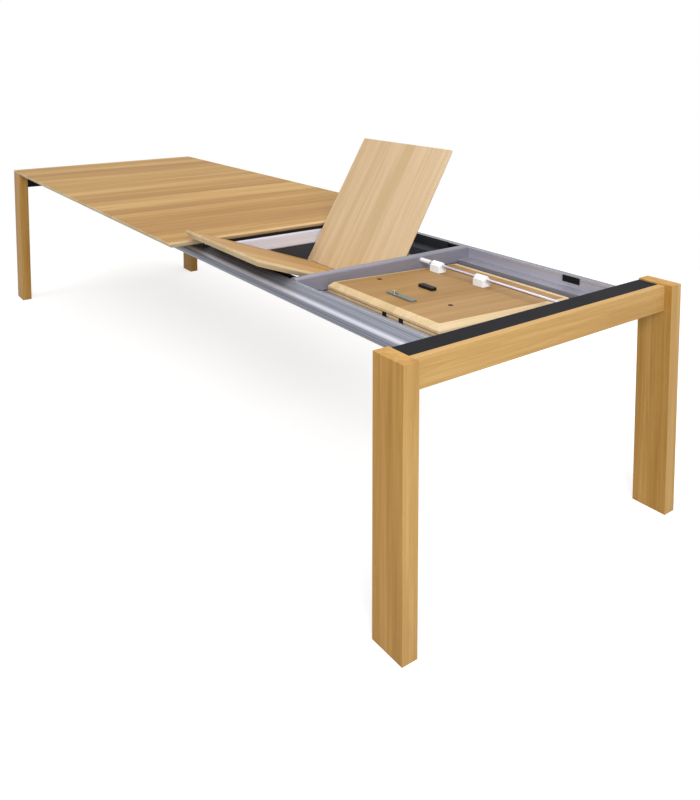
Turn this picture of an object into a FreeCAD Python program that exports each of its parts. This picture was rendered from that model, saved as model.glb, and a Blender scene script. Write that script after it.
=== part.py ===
import FreeCAD, Part
import os
import re

import Sketcher

# Draw leaf table, in millimetres: oak top and legs, a telescoping aluminium frame, two folding leaves.
# The near frame is drawn out of the table by the length extension. Leaf one stands half open between
# the far and the middle cross member. Leaf two lies folded between the middle cross member and the
# near end. +X points toward the drawn-out end and +Z up; the origin is on the floor under the middle.

os.makedirs("parts", exist_ok=True)
doc = FreeCAD.newDocument("draw_leaf_table")

# ------------------------------------------------------------------ driving dimensions
SIZES = {
    # the table as a whole
    "table_width": 1100,
    "table_height": 750,
    "top_length": 2255,
    "top_thickness": 22,
    "lipping_width": 18,
    "edge_bevel": 14,
    "arris": 1.5,
    # legs and oak rails
    "leg_width": 115,
    "leg_thickness": 48,
    "leg_clearance": 6,
    "rail_thickness": 22,
    "rail_setback": 24,
    "near_rail_height": 78,
    "near_rail_drop": 4,
    "far_rail_height": 68,
    # black cross beams behind the rails
    "cross_beam_height": 61,
    "cross_beam_drop": 5,
    "far_beam_height": 68,
    "cross_beam_wall": 3,
    # aluminium side beams
    "beam_inset": 113,
    "beam_bulge": 63,
    "beam_height": 60,
    "beam_drop": 8,
    "beam_wall": 4,
    "beam_tail": 700,
    "groove_width": 1.8,
    "groove_start": 30,
    "groove_spacing": 9,
    "end_cap_thickness": 3,
    # cross members between the beams
    "member_width": 30,
    "member_height": 56,
    "member_drop": 2,
    "member_rounding": 8,
    "member_reach": 2,
    "pad_length": 60,
    "pad_width": 24,
    "pad_offset": 250,
    "pad_clearance": 0.3,
    # guide tracks under the top, and the shoes that run in them
    "track_offset": 15,
    "track_flange_width": 22,
    "track_flange_height": 4,
    "track_web_width": 8,
    "track_web_height": 5.5,
    "track_end_gap": 16,
    "screw_radius": 2.2,
    "screw_head_radius": 3.6,
    "screw_head_height": 2,
    "screw_bite": 12,
    "screw_end_inset": 70,
    "shoe_length": 100,
    "shoe_width": 30,
    "shoe_clearance": 0.4,
    "shoe_tail_inset": 60,
    # leaves
    "leaf_length": 525,
    "leaf_thickness": 22,
    "leaf_end_gap": 6,
    "leaf_two_park": 14,
    "leaf_two_play": 83,
    "bay_margin": 5,
    "leaf_one_angle": 58.8,
    "fold_clearance": 13,
    "leaf_two_angle": 177.5,
    # rods, bushes and bearing blocks
    "rod_radius": 5,
    "rod_offset": 144,
    "rod_depth": 24,
    "rod_socket": 8,
    "sleeve_wall": 2.5,
    "sleeve_length": 48,
    "running_fit": 0.05,
    "bush_wall": 2.4,
    "bush_flange_radius": 9.5,
    "bush_flange_thickness": 1.2,
    "bush_play": 0.3,
    "block_length": 45,
    "block_width": 34,
    "block_crown": 11.5,
    "block_start": 72,
    "block_spacing": 207,
    # fold hinges
    "fold_gap": 0.8,
    "fold_lift": 0.8,
    "hinge_length": 50,
    "hinge_end_inset": 60,
    "hinge_flap_height": 18,
    "hinge_flap_thickness": 0.6,
    "knuckle_radius": 1.4,
    "knuckle_length": 15,
    "knuckle_gap": 0.3,
    "hinge_pin_radius": 0.7,
    # latch on the underside of the swinging half
    "latch_length": 118,
    "latch_width": 24,
    "latch_height": 5,
    "latch_start": 197,
    "latch_edge_distance": 92,
    "latch_cover": 1.8,
    "latch_rim": 4,
    "latch_rounding": 4,
    "bolt_length": 92,
    "bolt_thickness": 2.6,
    "bolt_play": 0.3,
    "latch_travel": 15,
    "knob_inset": 26,
    "knob_stem_radius": 3.5,
    "knob_radius": 6.5,
    "knob_height": 7,
    # clip and screw holes on the same face
    "leaf_clip_length": 66,
    "leaf_clip_width": 24,
    "leaf_clip_height": 9,
    "leaf_clip_start": 186,
    "leaf_clip_edge_distance": 229,
    "leaf_clip_rounding": 6,
    "hole_radius": 5,
    "hole_depth": 10,
    "hole_start": 57,
    "hole_spacing": 336,
    "hole_edge_distance": 165,
    # catches let into the free edge of the folding half of leaf two
    "catch_length": 20,
    "catch_height": 14,
    "catch_depth": 10,
    "catch_start": 282,
    "catch_spacing": 75,
    # clips on the inner wall of the right beam
    "wall_clip_length": 64,
    "wall_clip_height": 20,
    "wall_clip_thickness": 4,
    "wall_clip_drop": 3,
    "near_clip_inset": 126,
    "middle_clip_inset": 12,
}

# Heights and stations that follow from the driving dimensions.
LEVELS = {
    "bay_one_length": "leaf_end_gap + leaf_length + bay_margin",
    "bay_two_length": "leaf_two_park + leaf_length + leaf_two_play",
    "extension": "member_reach + bay_one_length + member_width + bay_two_length + leg_width",
    "near_end": "(top_length + extension) / 2",
    "far_end": "-(top_length + extension) / 2",
    "top_edge": "far_end + top_length",
    "side": "table_width / 2",
    "underside": "table_height - top_thickness",
    "near_leg_top": "underside - leg_clearance",
    "cross_beam_far": "near_end - leg_width",
    "far_rail_near": "far_end + rail_setback + rail_thickness",
    "far_beam_near": "far_end + leg_width",
    "near_rail_far": "near_end - rail_setback - rail_thickness",
    "cross_beam_top": "near_leg_top - cross_beam_drop",
    "beam_top": "near_leg_top - beam_drop",
    "beam_axis": "beam_top - beam_height / 2",
    "beam_inner": "side - beam_inset - beam_bulge",
    "beam_tail_end": "top_edge - beam_tail",
    "member_top": "near_leg_top - member_drop",
    "far_member_near": "top_edge + member_reach",
    "leaf_one_far": "far_member_near + leaf_end_gap",
    "middle_member_far": "far_member_near + bay_one_length",
    "middle_member_near": "middle_member_far + member_width",
    "leaf_two_far": "middle_member_near + leaf_two_park",
    "rod_height": "table_height - leaf_thickness - rod_depth",
    "half_width": "table_width / 2",
    "bush_radius": "rod_radius + running_fit + bush_wall",
    "swing_outer": "half_width - rod_offset",
    "fold_height": "rod_depth + leaf_thickness + fold_lift",
    "rest_run": "beam_inner + leaf_one_spine_across",
    "rest_rise": "beam_top - leaf_one_spine_up",
    "rest_depth": "fold_lift + leaf_thickness + fold_clearance",
    "leaf_one_fold": "(atan(rest_rise / rest_run) + asin(rest_depth / hypot(rest_run; rest_rise))) / 1 deg",
    "leaf_two_fold": "180 - leaf_two_angle",
}

# The axis of each leaf's fold, which its swinging half carries round the rod.
for leaf in ("leaf_one", "leaf_two"):
    turn = "(%s_angle * 1 deg)" % leaf
    LEVELS[leaf + "_spine_across"] = "rod_offset - rod_offset * cos%s - fold_height * sin%s" % (turn, turn)
    LEVELS[leaf + "_spine_up"] = "rod_height - rod_offset * sin%s + fold_height * cos%s" % (turn, turn)

CELL = {alias: "sizes." + alias for alias in SIZES}
CELL.update({alias: "levels." + alias for alias in LEVELS})


def cells(text):
    """Writes each alias in the text as the spreadsheet cell that holds it."""
    return re.sub(r"[a-z_]+", lambda word: CELL.get(word.group(), word.group()), str(text))


def fill_sheet(name, rows):
    sheet = doc.addObject("Spreadsheet::Sheet", name)
    for row, (alias, value) in enumerate(rows, start=1):
        sheet.set("A%d" % row, alias)
        sheet.set("B%d" % row, value)
        sheet.setAlias("B%d" % row, alias)
    return sheet


sizes = fill_sheet("sizes", [(alias, str(value)) for alias, value in SIZES.items()])
levels = fill_sheet("levels", [(alias, "=" + cells(text)) for alias, text in LEVELS.items()])
doc.recompute()

X_AXIS = FreeCAD.Vector(1, 0, 0)
Z_AXIS = FreeCAD.Vector(0, 0, 1)
ALONG_X = FreeCAD.Rotation(FreeCAD.Vector(0, 1, 0), 90)
SAME_PLACE = 0.01
SUB_PARTS = []


# ------------------------------------------------------------------ sketches and features
def value_of(text):
    return float(sizes.evalExpression(cells(text)))


def new_sketch(body, role, offset):
    """A sketch on one of the body's origin planes, lifted off it by the offset."""
    sketch = body.newObject("Sketcher::SketchObject", "sketch")
    plane = next(item for item in body.Origin.OriginFeatures if item.Role == role)
    sketch.AttachmentSupport = (plane, "")
    sketch.MapMode = "FlatFace"
    sketch.setExpression(".AttachmentOffset.Base.z", cells(offset))
    return sketch


def pin_point(sketch, line, corner, point):
    """Ties one end of a line to its two coordinates."""
    for kind, text in zip(("DistanceX", "DistanceY"), point):
        number = sketch.addConstraint(Sketcher.Constraint(kind, -1, 1, line, corner, value_of(text)))
        sketch.setExpression("Constraints[%d]" % number, cells(text))


def polygon(body, role, offset, points):
    """A closed outline through points, each given as two texts over the sheet."""
    sketch = new_sketch(body, role, offset)
    places = [FreeCAD.Vector(value_of(across), value_of(up), 0) for across, up in points]
    count = len(points)
    for line in range(count):
        sketch.addGeometry(Part.LineSegment(places[line], places[(line + 1) % count]))
    for line in range(count):
        sketch.addConstraint(Sketcher.Constraint("Coincident", line, 2, (line + 1) % count, 1))
        pin_point(sketch, line, 1, points[line])
    return sketch


def circle(body, role, offset, centre, radius):
    sketch = new_sketch(body, role, offset)
    middle = FreeCAD.Vector(value_of(centre[0]), value_of(centre[1]), 0)
    line = sketch.addGeometry(Part.Circle(middle, Z_AXIS, value_of(radius)))
    pin_point(sketch, line, 3, centre)
    number = sketch.addConstraint(Sketcher.Constraint("Radius", line, value_of(radius)))
    sketch.setExpression("Constraints[%d]" % number, cells(radius))
    return sketch


def pad(body, sketch, length):
    feature = body.newObject("PartDesign::Pad", "pad")
    feature.Profile = sketch
    feature.setExpression("Length", cells(length))
    return feature


def pocket(body, sketch, depth):
    """Cuts along the sketch's normal, and makes sure that it took something away."""
    doc.recompute()
    before = body.Shape.Volume
    feature = body.newObject("PartDesign::Pocket", "pocket")
    feature.Profile = sketch
    feature.Reversed = True
    feature.setExpression("Length", cells(depth))
    doc.recompute()
    if body.Shape.Volume >= before:
        raise RuntimeError("a pocket of %s cuts nothing" % body.Name)
    return feature


def rectangle(low, lengths):
    """The four corners of a rectangle from its lowest corner and two lengths."""
    far = ["(%s) + (%s)" % pair for pair in zip(low, lengths)]
    return [(low[0], low[1]), (far[0], low[1]), (far[0], far[1]), (low[0], far[1])]


def box_body(name, low, lengths):
    """A body with one padded rectangle: its lowest corner, and its lengths along X, Y and Z."""
    body = doc.addObject("PartDesign::Body", name)
    pad(body, polygon(body, "XY_Plane", low[2], rectangle(low[:2], lengths[:2])), lengths[2])
    return body


def cut_box(body, low, lengths):
    pocket(body, polygon(body, "XY_Plane", low[2], rectangle(low[:2], lengths[:2])), lengths[2])


def soften(body, edges=None, radius="arris"):
    """Rounds the chosen edges of a body, or all of them."""
    doc.recompute()
    tip = body.Tip
    feature = body.newObject("PartDesign::Fillet", "rounding")
    feature.Base = (tip, edges or [""])
    feature.UseAllEdges = edges is None
    feature.setExpression("Radius", cells(radius))
    return feature


def edges_where(body, test):
    """The names of the edges of a body whose first and last points pass the test."""
    doc.recompute()
    ends = [[vertex.Point for vertex in edge.Vertexes] for edge in body.Shape.Edges]
    return ["Edge%d" % number for number, pair in enumerate(ends, start=1) if test(*pair)]


def undercut(body, low, square_side):
    """Bevels the lower edges of a board, but not the one along the side that stays square."""
    floor = value_of(low)
    spine = value_of(square_side) if square_side else None

    def is_bevelled(first, last):
        if max(first.z, last.z) - floor > SAME_PLACE:
            return False
        return spine is None or max(abs(first.y - spine), abs(last.y - spine)) > SAME_PLACE

    edges = edges_where(body, is_bevelled)
    tip = body.Tip
    feature = body.newObject("PartDesign::Chamfer", "bevel")
    feature.Base = (tip, edges)
    feature.setExpression("Size", cells("edge_bevel"))


def bar_body(name, role, offset, centre, radius, length):
    body = doc.addObject("PartDesign::Body", name)
    pad(body, circle(body, role, offset, centre, radius), length)
    return body


# ------------------------------------------------------------------ boolean helpers
def solid_box(name, low, lengths):
    box = doc.addObject("Part::Box", name)
    for key, text in zip(("Length", "Width", "Height"), lengths):
        box.setExpression(key, cells(text))
    for key, text in zip("xyz", low):
        box.setExpression(".Placement.Base." + key, cells(text))
    return box


def solid_bar(name, start, radius, length):
    """A cylinder along X from its start point."""
    bar = doc.addObject("Part::Cylinder", name)
    bar.Placement = FreeCAD.Placement(FreeCAD.Vector(), ALONG_X)
    bar.setExpression("Radius", cells(radius))
    bar.setExpression("Height", cells(length))
    for key, text in zip("xyz", start):
        bar.setExpression(".Placement.Base." + key, cells(text))
    return bar


def pair_of(kind, name, base, tool):
    result = doc.addObject("Part::" + kind, name)
    result.Base = base
    result.Tool = tool
    return result


def cut(name, base, tool):
    return pair_of("Cut", name, base, tool)


def common(name, base, tool):
    return pair_of("Common", name, base, tool)


def fuse(name, shapes):
    result = doc.addObject("Part::MultiFuse", name)
    result.Shapes = shapes
    return result


def group(name, shapes):
    """Several separate solids that make one sub-part."""
    result = doc.addObject("Part::Compound", name)
    result.Links = shapes
    return result


def keep(obj, label):
    """Marks an object as a sub-part of the table under its own name."""
    obj.Label = label
    SUB_PARTS.append(obj)
    return obj


def put(obj, x, y, z):
    for key, text in zip("xyz", (x, y, z)):
        obj.setExpression(".Placement.Base." + key, cells(text))
    return obj


def put_on_side(obj, hand, start, length, z):
    """Places a piece on the inner wall of a beam; for the left beam it is turned end for end."""
    if hand == "right":
        return put(obj, start, "beam_inner", z)
    obj.Placement = FreeCAD.Placement(FreeCAD.Vector(), FreeCAD.Rotation(Z_AXIS, 180))
    return put(obj, "%s + %s" % (start, length), "-beam_inner", z)


HANDS = ("left", "right")


# ------------------------------------------------------------------ boards with lipping
def lipped_board(name, low, lengths, square_side=None, notches=(), holes=()):
    """A veneered panel and the four strips of solid lipping round it: (panel, lipping).

    The lipping is bevelled below, except along a square side. Notches are boxes cut into the lipping,
    holes are bores into the panel's lower face.
    """
    outer = box_body(name + "_outline", low, lengths)
    undercut(outer, low[2], square_side)
    soften(outer)
    for notch_low, notch_lengths in notches:
        cut_box(outer, notch_low, notch_lengths)
    inner_low = ["(%s) + lipping_width" % low[0], "(%s) + lipping_width" % low[1], low[2]]
    inner_lengths = [
        "(%s) - 2 * lipping_width" % lengths[0],
        "(%s) - 2 * lipping_width" % lengths[1],
        lengths[2],
    ]
    high = ["(%s) + (%s) - lipping_width" % pair for pair in zip(low[:2], lengths[:2])]
    strips = (
        (low, (lengths[0], "lipping_width", lengths[2])),
        ((low[0], high[1], low[2]), (lengths[0], "lipping_width", lengths[2])),
        ((low[0], inner_low[1], low[2]), ("lipping_width", inner_lengths[1], lengths[2])),
        ((high[0], inner_low[1], low[2]), ("lipping_width", inner_lengths[1], lengths[2])),
    )
    lipping = []
    for index, (strip_low, strip_lengths) in enumerate(strips):
        zone = solid_box("%s_zone_%d" % (name, index), strip_low, strip_lengths)
        lipping.append(common("%s_strip_%d" % (name, index), outer, zone))
    panel = box_body(name + "_panel", inner_low, inner_lengths)
    for centre, radius, depth in holes:
        pocket(panel, circle(panel, "XY_Plane", low[2], centre, radius), depth)
    return panel, group(name + "_lipping", lipping)


# ------------------------------------------------------------------ oak top, legs and rails
TRACK_START = "far_beam_near + track_end_gap"
TRACK_LENGTH = "top_edge - far_beam_near - 2 * track_end_gap"
SCREWS_PER_TRACK = 7
SCREW_SPACING = "((%s - 2 * screw_end_inset) / %d)" % (TRACK_LENGTH, SCREWS_PER_TRACK - 1)
SCREW_PLACES = [
    (
        "%s + screw_end_inset + %d * %s" % (TRACK_START, index, SCREW_SPACING),
        sign + "(beam_inner + track_offset)",
    )
    for sign in ("-", "")
    for index in range(SCREWS_PER_TRACK)
]

top_panel, top_lipping = lipped_board(
    "top",
    ("far_end", "-side", "underside"),
    ("top_length", "table_width", "top_thickness"),
    holes=[(place, "screw_radius", "screw_bite") for place in SCREW_PLACES],
)
keep(top_panel, "main_top_panel")
keep(top_lipping, "main_top_lipping")


def oak_board(label, low, lengths):
    body = box_body(label, low, lengths)
    soften(body)
    return keep(body, label)


# The near legs end flat below the top. The far legs rise round its bevel.
top_outline = doc.getObject("top_outline")
for hand, across in (("left", "-side"), ("right", "side - leg_thickness")):
    section = ("leg_width", "leg_thickness")
    oak_board("near_leg_" + hand, ("near_end - leg_width", across, "0"), section + ("near_leg_top",))
    post = box_body("far_post_" + hand, ("far_end", across, "0"), section + ("underside + edge_bevel",))
    soften(post)
    keep(cut("far_leg_" + hand, post, top_outline), "far_leg_" + hand)

RAIL_START = "-side + leg_thickness"
RAIL_SPAN = "table_width - 2 * leg_thickness"
oak_board(
    "near_rail",
    ("near_rail_far", RAIL_START, "near_leg_top - near_rail_drop - near_rail_height"),
    ("rail_thickness", RAIL_SPAN, "near_rail_height"),
)
oak_board(
    "far_rail",
    ("far_end + rail_setback", RAIL_START, "underside - far_rail_height"),
    ("rail_thickness", RAIL_SPAN, "far_rail_height"),
)

# ------------------------------------------------------------------ guide tracks under the top
for hand in HANDS:
    track = doc.addObject("PartDesign::Body", "guide_track_" + hand)
    edge = "track_flange_width / 2"
    web = "track_web_width / 2"
    flange_top = "track_flange_height"
    top = "track_flange_height + track_web_height"
    section = [
        ("track_offset - " + edge, "0"),
        ("track_offset + " + edge, "0"),
        ("track_offset + " + edge, flange_top),
        ("track_offset + " + web, flange_top),
        ("track_offset + " + web, top),
        ("track_offset - " + web, top),
        ("track_offset - " + web, flange_top),
        ("track_offset - " + edge, flange_top),
    ]
    pad(track, polygon(track, "YZ_Plane", "0", section), TRACK_LENGTH)
    for index in range(SCREWS_PER_TRACK):
        centre = ("screw_end_inset + %d * %s" % (index, SCREW_SPACING), "track_offset")
        pocket(track, circle(track, "XY_Plane", "0", centre, "screw_head_radius"), "screw_head_height")
        pocket(track, circle(track, "XY_Plane", "0", centre, "screw_radius"), top)
    put_on_side(track, hand, TRACK_START, TRACK_LENGTH, "underside - (%s)" % top)
    keep(track, "guide_track_" + hand)

TRACK_BOTTOM = "underside - track_flange_height - track_web_height"
screws = []
for place in SCREW_PLACES:
    screw = bar_body("track_screw", "XY_Plane", TRACK_BOTTOM, place, "screw_head_radius", "screw_head_height")
    shank = circle(screw, "XY_Plane", TRACK_BOTTOM, place, "screw_radius")
    pad(screw, shank, "track_flange_height + track_web_height + screw_bite")
    screws.append(screw)
keep(group("track_screw_group", screws), "track_screws")

# ------------------------------------------------------------------ black cross beams
def channel(name, low, lengths):
    """A folded steel channel, open below."""
    body = box_body(name, low, lengths)
    soften(body)
    cavity_low = ["(%s) + cross_beam_wall" % low[0], "(%s) + cross_beam_wall" % low[1], low[2]]
    cavity_lengths = (
        "(%s) - 2 * cross_beam_wall" % lengths[0],
        "(%s) - 2 * cross_beam_wall" % lengths[1],
        "(%s) - cross_beam_wall" % lengths[2],
    )
    cut_box(body, cavity_low, cavity_lengths)
    return body


keep(
    channel(
        "far_cross_beam",
        ("far_rail_near", RAIL_START, "underside - far_beam_height"),
        ("far_beam_near - far_rail_near", RAIL_SPAN, "far_beam_height"),
    ),
    "far_cross_beam",
)
cross_beam = channel(
    "near_cross_beam",
    ("cross_beam_far", RAIL_START, "cross_beam_top - cross_beam_height"),
    ("near_rail_far - cross_beam_far", RAIL_SPAN, "cross_beam_height"),
)
pocket(
    cross_beam,
    circle(cross_beam, "YZ_Plane", "cross_beam_far", ("rod_offset", "rod_height"), "rod_radius"),
    "cross_beam_wall",
)
keep(cross_beam, "near_cross_beam")


# ------------------------------------------------------------------ aluminium side beams
def oval_bar(name, bulge, half_height, length):
    """A bar of elliptical section along X, round the beam's own axis."""
    oval = doc.addObject("Part::Ellipse", name + "_oval")
    oval.setExpression("MajorRadius", cells(bulge))
    oval.setExpression("MinorRadius", cells(half_height))
    oval.Placement = FreeCAD.Placement(FreeCAD.Vector(), FreeCAD.Rotation(FreeCAD.Vector(1, 1, 1), 120))
    bar = doc.addObject("Part::Extrusion", name + "_bar")
    bar.Base = oval
    bar.DirMode = "Custom"
    bar.Dir = X_AXIS
    bar.Solid = True
    bar.setExpression("LengthFwd", cells(length))
    return bar


def d_bar(name, bulge, half_height, length, flat):
    """The part of an oval bar that lies beyond the flat wall at Y = flat."""
    zone = solid_box(
        name + "_zone", ("0", flat, "-beam_height"), (length, "2 * beam_bulge", "2 * beam_height")
    )
    return common(name + "_d", oval_bar(name, bulge, half_height, length), zone)


BEAM_LENGTH = "(cross_beam_far - beam_tail_end)"
GROOVES = 6
ON_EDGE = FreeCAD.Rotation(X_AXIS, 45)
for hand in HANDS:
    name = "side_beam_" + hand
    outside = d_bar(name + "_outside", "beam_bulge", "beam_height / 2", BEAM_LENGTH, "0")
    inside = d_bar(
        name + "_inside", "beam_bulge - beam_wall", "beam_height / 2 - beam_wall", BEAM_LENGTH, "beam_wall"
    )
    grooves = []
    for index in range(GROOVES):
        angle = "((groove_start + %d * groove_spacing) * 1 deg)" % index
        across = "beam_bulge * cos(%s)" % angle
        up = "beam_height / 2 * sin(%s) - groove_width / sqrt(2)" % angle
        section = (BEAM_LENGTH, "groove_width", "groove_width")
        groove = solid_box("%s_groove_%d" % (name, index), ("0", across, up), section)
        groove.Placement = FreeCAD.Placement(FreeCAD.Vector(), ON_EDGE)
        grooves.append(groove)
    beam = cut(name, cut(name + "_shell", outside, inside), fuse(name + "_grooves", grooves))
    put_on_side(beam, hand, "beam_tail_end", BEAM_LENGTH, "beam_axis")
    keep(beam, name)

caps = []
for hand in HANDS:
    cap = d_bar("end_cap_" + hand, "beam_bulge", "beam_height / 2", "end_cap_thickness", "0")
    caps.append(put_on_side(cap, hand, "beam_tail_end - end_cap_thickness", "end_cap_thickness", "beam_axis"))
keep(group("end_cap_group", caps), "beam_end_caps")


# ------------------------------------------------------------------ cross members, pads and rods
def cross_member(label, start, sockets):
    """A box section between the beams, its long edges rounded, with blind bores for the rods."""
    body = box_body(
        label,
        (start, "-beam_inner", "member_top - member_height"),
        ("member_width", "2 * beam_inner", "member_height"),
    )
    span = value_of("beam_inner")
    long_edges = edges_where(body, lambda first, last: abs(first.y - last.y) > span)
    soften(body, long_edges, "member_rounding")
    for socket in sockets:
        bore = circle(body, "YZ_Plane", socket, ("rod_offset", "rod_height"), "rod_radius")
        pocket(body, bore, "rod_socket")
    return keep(body, label)


cross_member("cross_member_far", "far_member_near - member_width", ("far_member_near - rod_socket",))
cross_member(
    "cross_member_middle", "middle_member_far", ("middle_member_far", "middle_member_near - rod_socket")
)

pads = []
for sign in ("-", ""):
    low = (
        "far_member_near - member_width / 2 - pad_width / 2",
        "%spad_offset - pad_length / 2" % sign,
        "member_top",
    )
    height = "underside - pad_clearance - member_top"
    pads.append(box_body("glide_pad", low, ("pad_width", "pad_length", height)))
keep(group("glide_pad_group", pads), "glide_pads")

for label, start, end in (
    ("leaf_one_rod", "far_member_near - rod_socket", "middle_member_far + rod_socket"),
    ("leaf_two_rod", "middle_member_near - rod_socket", "cross_beam_far + rod_socket"),
):
    length = "(%s) - (%s)" % (end, start)
    keep(bar_body(label, "YZ_Plane", start, ("rod_offset", "rod_height"), "rod_radius", length), label)

# The sleeve keeps leaf two off the middle member.
sleeve = bar_body(
    "rod_stop_sleeve",
    "YZ_Plane",
    "middle_member_near",
    ("rod_offset", "rod_height"),
    "rod_radius + sleeve_wall",
    "sleeve_length",
)
sleeve_bore = circle(sleeve, "YZ_Plane", "middle_member_near", ("rod_offset", "rod_height"), "rod_radius")
pocket(sleeve, sleeve_bore, "sleeve_length")
keep(sleeve, "rod_stop_sleeve")


# ------------------------------------------------------------------ slide shoes
def slide_shoe(name):
    """A block seated on the beam's curved top, slotted for the guide track's flange and web."""
    track_low = "underside - beam_axis - track_flange_height - track_web_height"
    block = solid_box(
        name + "_block",
        ("0", "0", "0"),
        ("shoe_length", "shoe_width", "underside - beam_axis - shoe_clearance"),
    )
    flange_slot = solid_box(
        name + "_flange_slot",
        ("0", "track_offset - track_flange_width / 2 - shoe_clearance", track_low + " - shoe_clearance"),
        (
            "shoe_length",
            "track_flange_width + 2 * shoe_clearance",
            "track_flange_height + 2 * shoe_clearance",
        ),
    )
    web_slot = solid_box(
        name + "_web_slot",
        ("0", "track_offset - track_web_width / 2 - shoe_clearance", track_low),
        (
            "shoe_length",
            "track_web_width + 2 * shoe_clearance",
            "track_flange_height + track_web_height",
        ),
    )
    seat = oval_bar(name + "_seat", "beam_bulge", "beam_height / 2", "shoe_length")
    return cut(name, block, fuse(name + "_away", [flange_slot, web_slot, seat]))


for hand in HANDS:
    shoes = []
    for place, start in (
        ("front", "far_member_near - member_width - shoe_length"),
        ("tail", "beam_tail_end + shoe_tail_inset"),
    ):
        shoe = slide_shoe("shoe_%s_%s" % (hand, place))
        shoes.append(put_on_side(shoe, hand, start, "shoe_length", "beam_axis"))
    keep(group("shoe_group_" + hand, shoes), "slide_shoes_" + hand)

# ------------------------------------------------------------------ clips on the right beam's inner wall
wall_clips = []
for start in (
    "cross_beam_far - near_clip_inset - wall_clip_length",
    "middle_member_far - middle_clip_inset - wall_clip_length",
):
    low = (start, "beam_inner - wall_clip_thickness", "beam_top - wall_clip_drop - wall_clip_height")
    lengths = ("wall_clip_length", "wall_clip_thickness", "wall_clip_height")
    wall_clips.append(box_body("wall_clip", low, lengths))
keep(group("wall_clip_group", wall_clips), "beam_wall_clips")


# ------------------------------------------------------------------ frames of the two halves of a leaf
def on_swing_half(obj, leaf):
    """Places a piece drawn round the rod's axis: turned about the rod by the leaf's own angle."""
    obj.Placement = FreeCAD.Placement(FreeCAD.Vector(), FreeCAD.Rotation(X_AXIS, 1))
    put(obj, leaf + "_far", "rod_offset", "rod_height")
    obj.setExpression(".Placement.Rotation.Angle", cells(leaf + "_angle * 1 deg"))
    return obj


def on_fold_half(obj, leaf):
    """Places a piece drawn round the fold's axis, which the swinging half carries."""
    obj.Placement = FreeCAD.Placement(FreeCAD.Vector(), FreeCAD.Rotation(-X_AXIS, 1))
    put(obj, leaf + "_far", leaf + "_spine_across", leaf + "_spine_up")
    obj.setExpression(".Placement.Rotation.Angle", cells(leaf + "_fold * 1 deg"))
    return obj


# ------------------------------------------------------------------ boards of a leaf
def swing_boards(name):
    """The half that carries the bearing blocks, drawn round the rod with the finished face up."""
    hole_across = "swing_outer - hole_edge_distance"
    holes = [
        (("hole_start", hole_across), "hole_radius", "hole_depth"),
        (("hole_start + hole_spacing", hole_across), "hole_radius", "hole_depth"),
    ]
    return lipped_board(
        name,
        ("0", "-rod_offset + fold_gap", "rod_depth"),
        ("leaf_length", "half_width - fold_gap", "leaf_thickness"),
        square_side="-rod_offset + fold_gap",
        holes=holes,
    )


CATCHES = [
    (
        ("catch_start + %d * catch_spacing" % index, "-half_width", "-fold_lift - catch_height"),
        ("catch_length", "catch_depth", "catch_height"),
    )
    for index in range(2)
]


def fold_boards(name, notches):
    """The half that folds, drawn round the fold's axis with the finished face up."""
    return lipped_board(
        name,
        ("0", "-half_width", "-fold_lift - leaf_thickness"),
        ("leaf_length", "half_width - fold_gap", "leaf_thickness"),
        square_side="-fold_gap",
        notches=notches,
    )


# ------------------------------------------------------------------ bearing blocks and bushes
BLOCK_STARTS = ["block_start + %d * block_spacing - block_length / 2" % index for index in range(2)]


def bearing_blocks(name):
    """Two plastic blocks screwed to the underside, with a round crown that holds a bush."""
    blocks = []
    for index, start in enumerate(BLOCK_STARTS):
        part = "%s_%d" % (name, index)
        foot = solid_box(
            part + "_foot",
            (start, "-block_width / 2", "0"),
            ("block_length", "block_width", "rod_depth"),
        )
        crown = solid_bar(part + "_crown", (start, "0", "0"), "block_crown", "block_length")
        bore = solid_bar(part + "_bore", (start, "0", "0"), "bush_radius + running_fit", "block_length")
        blocks.append(cut(part, fuse(part + "_solid", [foot, crown]), bore))
    return group(name, blocks)


def bushes(name):
    """Two flanged sleeves that slide along the rod and turn inside the blocks."""
    sleeves = []
    for index, start in enumerate(BLOCK_STARTS):
        part = "%s_%d" % (name, index)
        low = "%s - bush_play - bush_flange_thickness" % start
        length = "block_length + 2 * bush_play + 2 * bush_flange_thickness"
        near = "%s + block_length + bush_play" % start
        tube = solid_bar(part + "_tube", (low, "0", "0"), "bush_radius", length)
        far_flange = solid_bar(
            part + "_far_flange", (low, "0", "0"), "bush_flange_radius", "bush_flange_thickness"
        )
        near_flange = solid_bar(
            part + "_near_flange", (near, "0", "0"), "bush_flange_radius", "bush_flange_thickness"
        )
        bore = solid_bar(part + "_bore", (low, "0", "0"), "rod_radius + running_fit", length)
        sleeves.append(cut(part, fuse(part + "_solid", [tube, far_flange, near_flange]), bore))
    return group(name, sleeves)


# ------------------------------------------------------------------ fold hinges
HINGES = 3
HINGE_SPACING = "((leaf_length - 2 * hinge_end_inset - hinge_length) / %d)" % (HINGES - 1)
HINGE_STARTS = ["hinge_end_inset + %d * %s" % (index, HINGE_SPACING) for index in range(HINGES)]
WEB_HEIGHT = "knuckle_radius + knuckle_gap"
MIDDLE_KNUCKLE = "hinge_length - 2 * knuckle_length - 2 * knuckle_gap"


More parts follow.
